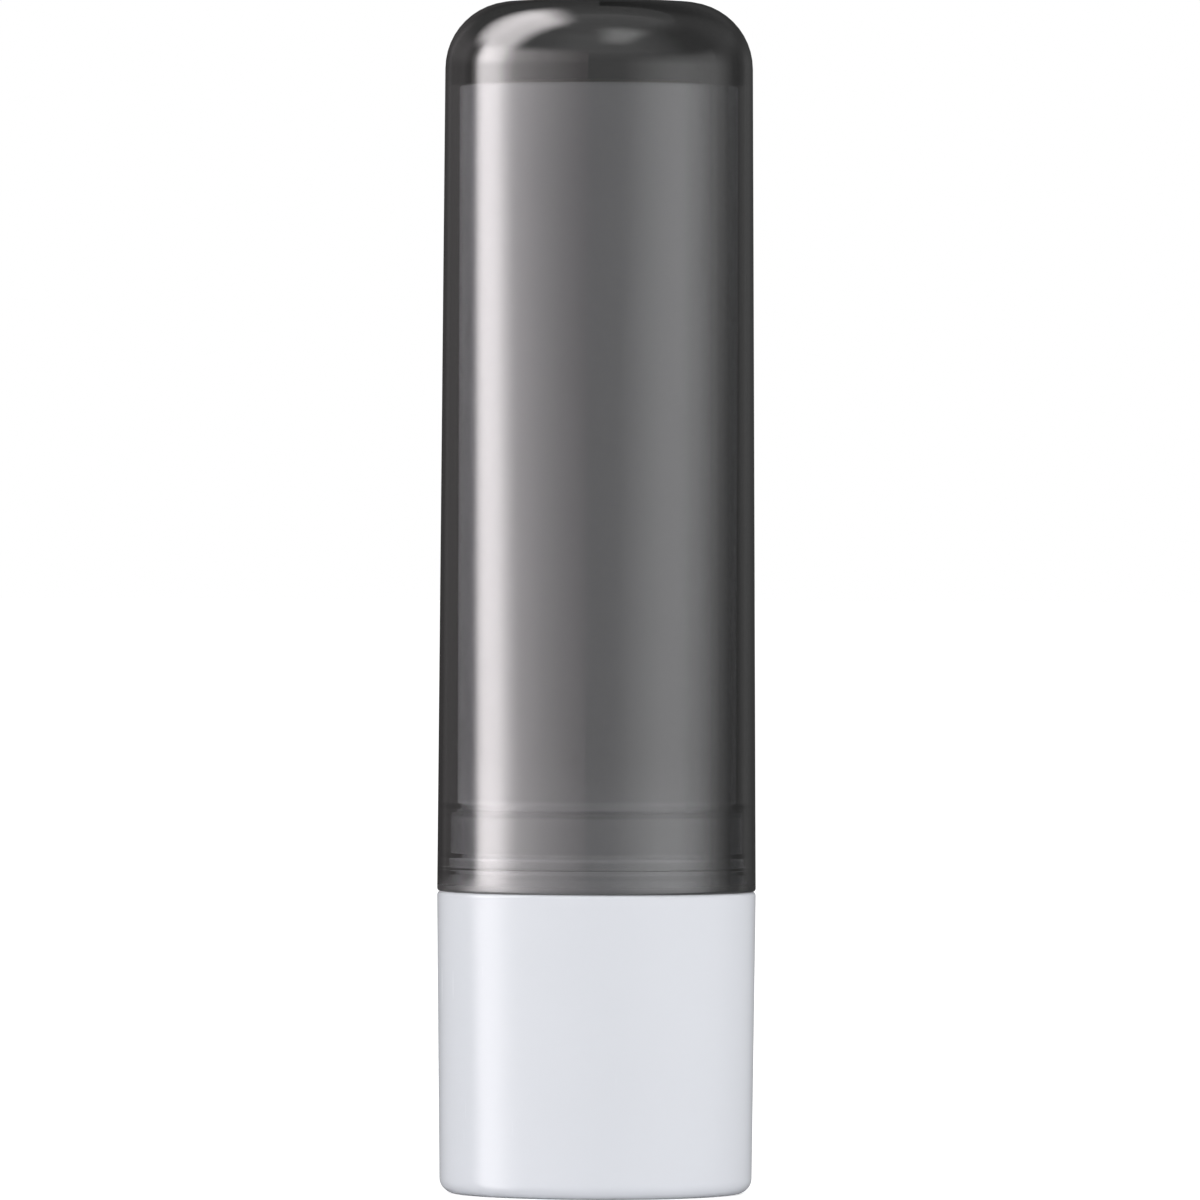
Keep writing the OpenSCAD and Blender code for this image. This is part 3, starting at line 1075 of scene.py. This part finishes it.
class STICK_OT_stage(bpy.types.Operator):
    """Pale floor, soft studio light and the camera"""

    bl_idname = "lip_balm.stage"
    bl_label = "Studio"

    def execute(self, context):
        studio = context.scene.stick_studio
        context.scene.view_settings.view_transform = "Standard"
        floor = self.floor()
        cards = self.wall_cards(studio) + self.ceiling_cards() + [self.bowl()]
        self.world(studio)
        self.lamps()
        self.camera(studio)
        return {"FINISHED"}

    def floor(self):
        """A pale disc that is left out when it is seen from below."""
        put_down()
        bpy.ops.mesh.primitive_circle_add(vertices=96, radius=6, fill_type="NGON")
        floor = bpy.context.object
        floor.name = floor.data.name = "floor"
        floor.visible_glossy = False
        material, tree, out = new_material("pale floor")
        link = tree.links.new
        pale = tree.nodes.new("ShaderNodeBsdfDiffuse")
        pale.inputs["Color"].default_value = (0.86, 0.86, 0.86, 1)
        lift = tree.nodes.new("ShaderNodeEmission")
        link(calculate(tree, "MULTIPLY", seen_rays(tree), 0.5), lift.inputs["Strength"])
        both = tree.nodes.new("ShaderNodeAddShader")
        link(pale.outputs["BSDF"], both.inputs[0])
        link(lift.outputs["Emission"], both.inputs[1])
        side = tree.nodes.new("ShaderNodeNewGeometry")
        clear = tree.nodes.new("ShaderNodeBsdfTransparent")
        surface = either(
            tree, side.outputs["Backfacing"], both.outputs["Shader"], clear.outputs["BSDF"]
        )
        link(surface, out.inputs["Surface"])
        floor.data.materials.append(material)
        return floor

    def wall_cards(self, studio):
        """Softboxes and a flag round the stick. The first is brighter over its top."""
        made = []
        for name, radius, low, high, strength, boost, tint, lean, levels, fades in (
            (
                "streak_softbox", 0.45, -0.3, 0.34, studio.streak, 1.32, WARM_WHITE, 1.3,
                STREAK_LEVELS, [("Z", 0.34, 0.2)],
            ),
            (
                "side_softbox", 0.45, -0.3, 0.21, 2.2, 1, WHITE, -1.3,
                SIDE_LEVELS, [("Z", 0.21, 0.09)],
            ),
            (
                "front_flag", 1.3, 0.34667, 2.88889, 1.25, 1, WHITE, 0,
                FLAG_LEVELS, [("Z", 0.34667, 0.63556), ("Z", 2.88889, 1.3)],
            ),
        ):
            start, end = min(levels), max(levels)
            sheet = swept_card(
                name, [(radius, 0, low), (radius, 0, high)],
                radians(end - start), (0, 0, 1), radians(start - 90),
            )
            material, tree, out, light, place = self.glowing(name, tint)
            front = calculate(tree, "MULTIPLY", place["Y"], -1.0)
            angle = calculate(tree, "ARCTAN2", place["X"], front)
            # a card that leans outwards shows its levels further out near its top
            moved = between(tree, place["Z"], 0, 0.1, -0.045 * lean, 0.055 * lean)
            along = between(
                tree, calculate(tree, "ADD", angle, moved), radians(start), radians(end)
            )
            share = graded(tree, along, spread(levels))
            power = between(
                tree, place["Z"], BOOST_LOW, BOOST_HIGH, strength, strength * boost
            )
            tree.links.new(calculate(tree, "MULTIPLY", share, power), light.inputs["Strength"])
            self.fade(tree, out, light, place, fades)
            sheet.data.materials.append(material)
            made.append(sheet)
        return made

    def ceiling_cards(self):
        """A softbox that carries the streak on over the shoulder, and a small one."""
        made = []
        for name, left, right, near, far, strength, tint, fades in (
            (
                "overhead_softbox", -2.8, -0.07, -1.0, 1.3, 8.8, WARM_WHITE,
                [("X", -0.07, -0.24), ("X", -2.8, -2.0), ("U", -1.5, -0.5), ("U", 1.9, 0.2)],
            ),
            (
                "small_softbox", -0.14, 0.42, -1.1, -0.1, 2.9, WHITE,
                [("X", -0.07, 0.14), ("X", 0.4, 0.2), ("Y", -0.86, -0.46), ("Y", -0.14, -0.34)],
            ),
        ):
            put_down()
            middle = ((left + right) / 2, (near + far) / 2, CEILING)
            bpy.ops.mesh.primitive_plane_add(size=1, location=middle)
            sheet = bpy.context.object
            sheet.name = sheet.data.name = name
            sheet.scale = (right - left, far - near, 1)
            bpy.ops.object.transform_apply(location=True, rotation=True, scale=True)
            only_reflected(sheet)
            material, tree, out, light, place = self.glowing(name, tint)
            light.inputs["Strength"].default_value = strength
            self.fade(tree, out, light, place, fades)
            sheet.data.materials.append(material)
            made.append(sheet)
        return made

    def bowl(self):
        """A grey bowl behind the stick, darker with depth."""
        bowl = swept_card(
            "flag_bowl",
            [
                (BOWL_RADIUS * sin(radians(k)), -BOWL_RADIUS * cos(radians(k)), 0)
                for k in range(99, 180, 4)
            ],
            2 * pi, (0, 1, 0), 0,
        )
        material, tree, out, light, place = self.glowing("flag bowl", WHITE)
        depths = {-BOWL_RADIUS * cos(radians(k)): level for k, level in BOWL_LEVELS.items()}
        depth = between(tree, place["Y"], min(depths), max(depths))
        tree.links.new(graded(tree, depth, spread(depths)), light.inputs["Strength"])
        tree.links.new(light.outputs["Emission"], out.inputs["Surface"])
        bowl.data.materials.append(material)
        return bowl

    def glowing(self, name, tint):
        """A card's new material, with its light and the place on the card by axis."""
        material, tree, out = new_material(name)
        light = tree.nodes.new("ShaderNodeEmission")
        light.inputs["Color"].default_value = tint
        return material, tree, out, light, by_axis(tree, object_place(tree))

    def fade(self, tree, out, light, place, fades):
        """Lets a card show from first to last along an axis, and none of it before that."""
        shown = None
        for side, first, last in fades:
            where = self.across(tree, place) if side == "U" else place[side]
            part = between(tree, where, first, last, smooth=True)
            shown = part if shown is None else calculate(tree, "MULTIPLY", shown, part)
        clear = tree.nodes.new("ShaderNodeBsdfTransparent")
        surface = either(tree, shown, clear.outputs["BSDF"], light.outputs["Emission"])
        tree.links.new(surface, out.inputs["Surface"])

    def across(self, tree, place):
        """Place across a card that grows wider towards the left, in half widths."""
        middle = calculate(tree, "MULTIPLY_ADD", place["X"], 0.07, 0.1)
        reach = calculate(tree, "MULTIPLY_ADD", place["X"], -0.2175, 0.155)
        return calculate(tree, "DIVIDE", calculate(tree, "SUBTRACT", place["Y"], middle), reach)

    def world(self, studio):
        """White where it is seen or mirrored, and soft daylight for everything else."""
        world = bpy.data.worlds.new("studio")
        bpy.context.scene.world = world
        world.use_nodes = True
        tree = world.node_tree
        tree.nodes.clear()
        out = tree.nodes.new("ShaderNodeOutputWorld")
        light = []
        for strength in (studio.daylight, 1.0):
            sky = tree.nodes.new("ShaderNodeBackground")
            sky.inputs["Color"].default_value = WHITE
            sky.inputs["Strength"].default_value = strength
            light.append(sky.outputs["Background"])
        tree.links.new(either(tree, seen_rays(tree), *light), out.inputs["Surface"])

    def lamps(self):
        """Two soft lamps that don't show in reflections."""
        middle = Vector((0, 0, 0.035))
        for name, place, size, watts in (
            ("front_right_lamp", (0.92, -0.78, 0.55), 0.6, 5.1),
            ("left_lamp", (-0.9, -0.35, 0.5), 0.6, 3.4),
        ):
            light = bpy.data.lights.new(name, "AREA")
            light.shape = "SQUARE"
            light.size = size
            light.energy = watts
            lamp = bpy.data.objects.new(name, light)
            lamp.location = place
            aim = middle - Vector(place)
            lamp.rotation_euler = aim.to_track_quat("-Z", "Y").to_euler()
            lamp.visible_camera = False
            lamp.visible_glossy = False
            bpy.context.scene.collection.objects.link(lamp)

    def camera(self, studio):
        """The photograph's long lens, a little to the right of the stick's axis."""
        lens = bpy.data.cameras.new("camera")
        lens.lens = studio.focal_length
        lens.sensor_width = 36
        lens.clip_start = 0.01
        lens.clip_end = 50
        camera = bpy.data.objects.new("camera", lens)
        camera.location = (studio.camera_side, -studio.camera_distance, studio.camera_height)
        camera.rotation_euler = (pi / 2 - studio.tilt, studio.roll, 0)
        bpy.context.scene.collection.objects.link(camera)
        bpy.context.scene.camera = camera


PIECES = (STICK_OT_cap, STICK_OT_tube, STICK_OT_base, STICK_OT_drive, STICK_OT_balm)


class STICK_PT_panel(bpy.types.Panel):
    """Lists the sizes, the finishes and a button for each piece."""

    bl_idname = "STICK_PT_panel"
    bl_label = "Lip balm stick"
    bl_space_type = "VIEW_3D"
    bl_region_type = "UI"
    bl_category = "Lip balm"

    def draw(self, context):
        layout = self.layout
        for heading, group_name in (
            ("Sizes", "stick_sizes"),
            ("Finishes", "stick_finishes"),
            ("Studio", "stick_studio"),
        ):
            layout.label(text=heading)
            values = getattr(context.scene, group_name)
            for key in values.__annotations__:
                layout.prop(values, key)
        layout.label(text="Pieces")
        for operator in (*PIECES, STICK_OT_stage):
            layout.operator(operator.bl_idname)


CLASSES = (StickSizes, StickFinishes, StudioSettings, *PIECES, STICK_OT_stage, STICK_PT_panel)


def register():
    for each in CLASSES:
        bpy.utils.register_class(each)
    bpy.types.Scene.stick_sizes = PointerProperty(type=StickSizes)
    bpy.types.Scene.stick_finishes = PointerProperty(type=StickFinishes)
    bpy.types.Scene.stick_studio = PointerProperty(type=StudioSettings)


def unregister():
    del bpy.types.Scene.stick_sizes
    del bpy.types.Scene.stick_finishes
    del bpy.types.Scene.stick_studio
    for each in reversed(CLASSES):
        bpy.utils.unregister_class(each)


def main():
    """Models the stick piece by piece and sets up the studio."""
    register()
    bpy.ops.lip_balm.base()
    bpy.ops.lip_balm.drive()
    bpy.ops.lip_balm.tube()
    bpy.ops.lip_balm.balm()
    bpy.ops.lip_balm.cap()
    bpy.ops.lip_balm.stage()
    put_down()


if __name__ == "__main__":
    main()
